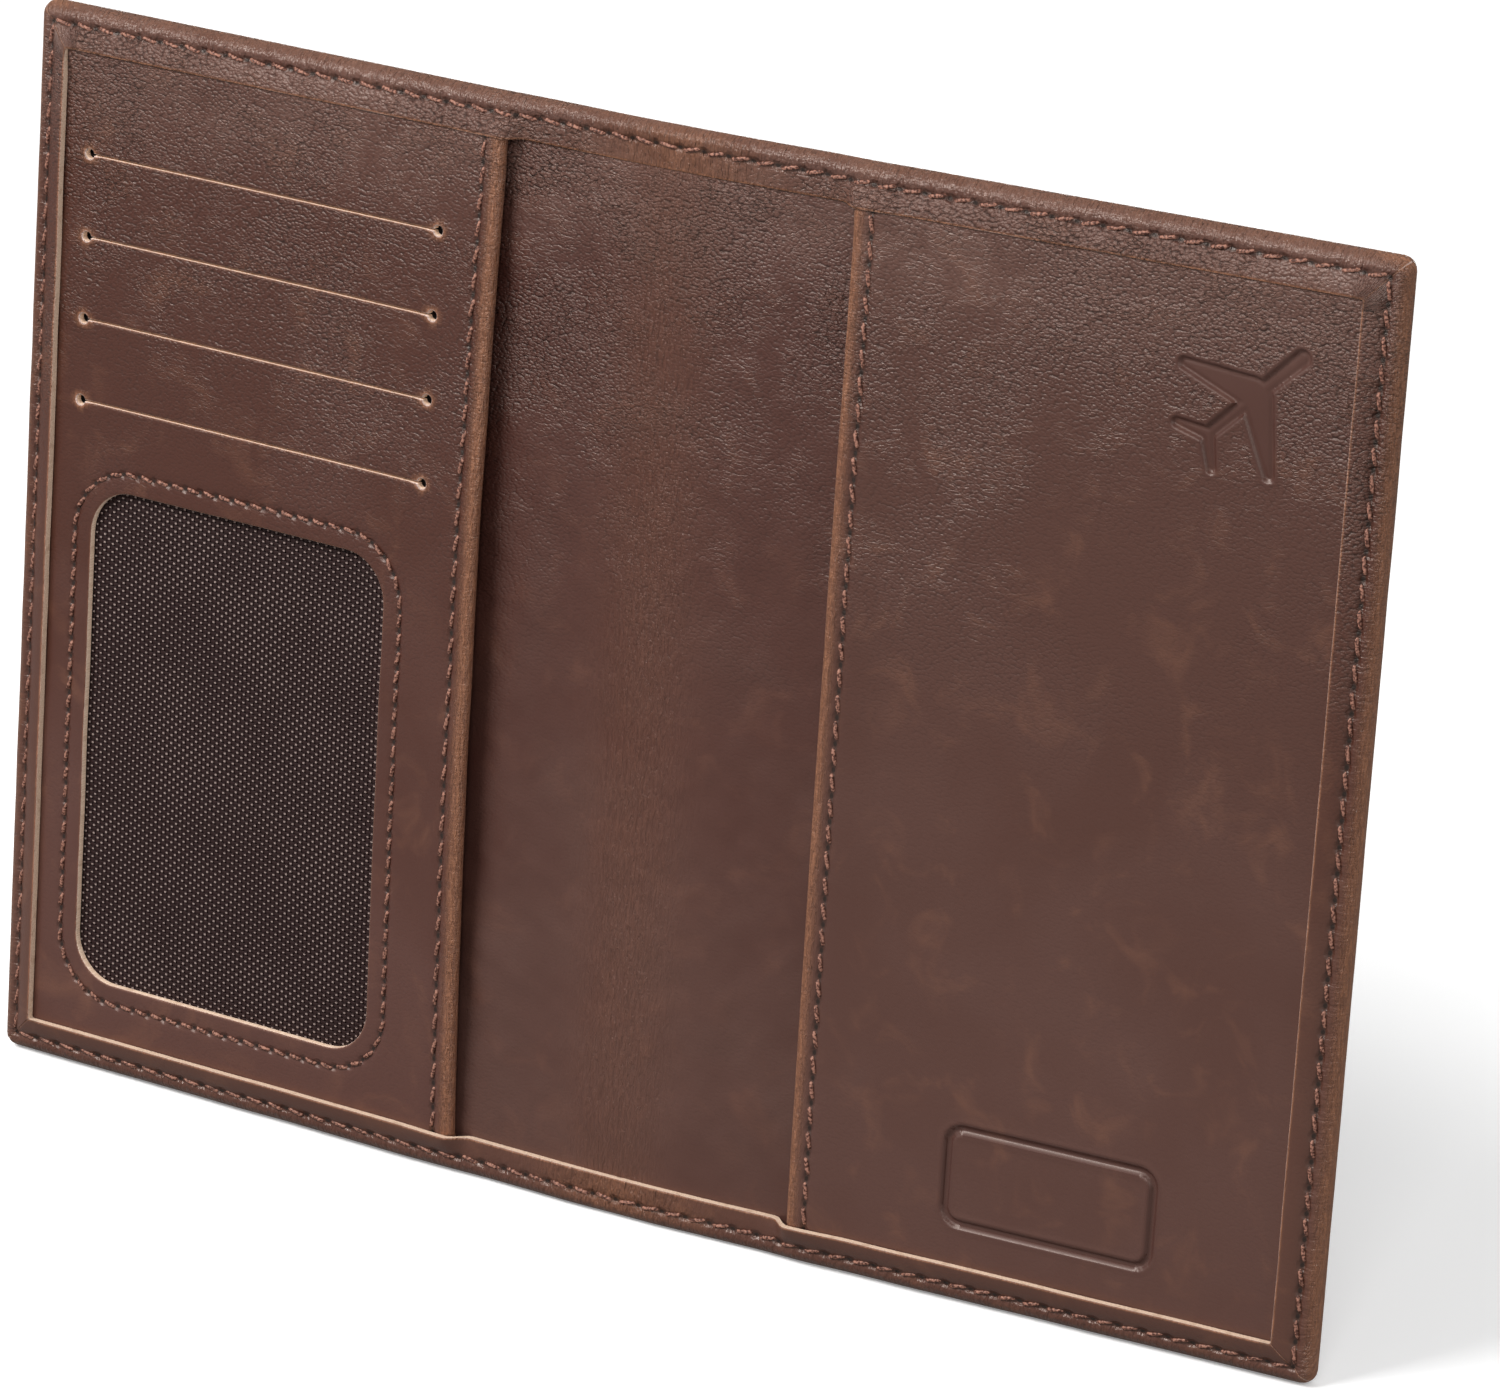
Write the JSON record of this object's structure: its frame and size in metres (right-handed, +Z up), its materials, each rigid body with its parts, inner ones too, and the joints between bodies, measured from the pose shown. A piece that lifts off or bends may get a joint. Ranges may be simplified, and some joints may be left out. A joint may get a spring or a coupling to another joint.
{
  "type": "passport wallet",
  "caption": "Bifold leather organizer for travel documents, standing open, with a passport pocket, card slots and a mesh ID window.",
  "frame": {"origin": "middle of the spine's bottom edge, where the open wallet stands", "axes": "+Z up, +X from the card side to the passport side, -Y out of the inside face"},
  "size_m": [0.201, 0.0083, 0.148],
  "materials": {
    "cover_leather": "smooth waxed pull-up leather",
    "lining_leather": "smooth waxed leather",
    "panel_leather": "smooth waxed leather",
    "stiffener_board": "raw fibre board",
    "window_mesh": "woven monofilament",
    "pocket_fabric": "thin woven lining",
    "thread": "waxed thread"
  },
  "bodies": {
    "spine": {"spine_leather": "cover_leather", "spine_lining": "lining_leather", "spine_stitching": "thread"},
    "left_cover": {"left_cover_leather": "cover_leather", "left_lining": "lining_leather", "left_stiffener_board": "stiffener_board", "card_panel": "panel_leather", "window_mesh": "window_mesh", "window_pocket_lining": "pocket_fabric", "card_pocket_liner_1": "pocket_fabric", "card_pocket_liner_2": "pocket_fabric", "card_pocket_liner_3": "pocket_fabric", "left_perimeter_stitching": "thread", "window_stitching": "thread", "card_panel_edge_stitching": "thread"},
    "right_cover": {"right_cover_leather": "cover_leather", "right_lining": "lining_leather", "right_stiffener_board": "stiffener_board", "passport_panel": "panel_leather", "passport_pocket_lining": "pocket_fabric", "right_perimeter_stitching": "thread", "passport_panel_edge_stitching": "thread"}
  },
  "joints": [
    {"name": "left_cover_fold", "type": "hinge", "parent": "spine", "child": "left_cover", "pos_m": [-0.007, 0.00093, 0], "axis": [0, 0, 1], "range_deg": [-10, 92.5]},
    {"name": "right_cover_fold", "type": "hinge", "parent": "spine", "child": "right_cover", "pos_m": [0.007, 0.00093, 0], "axis": [0, 0, -1], "range_deg": [-10, 92.5]}
  ]
}
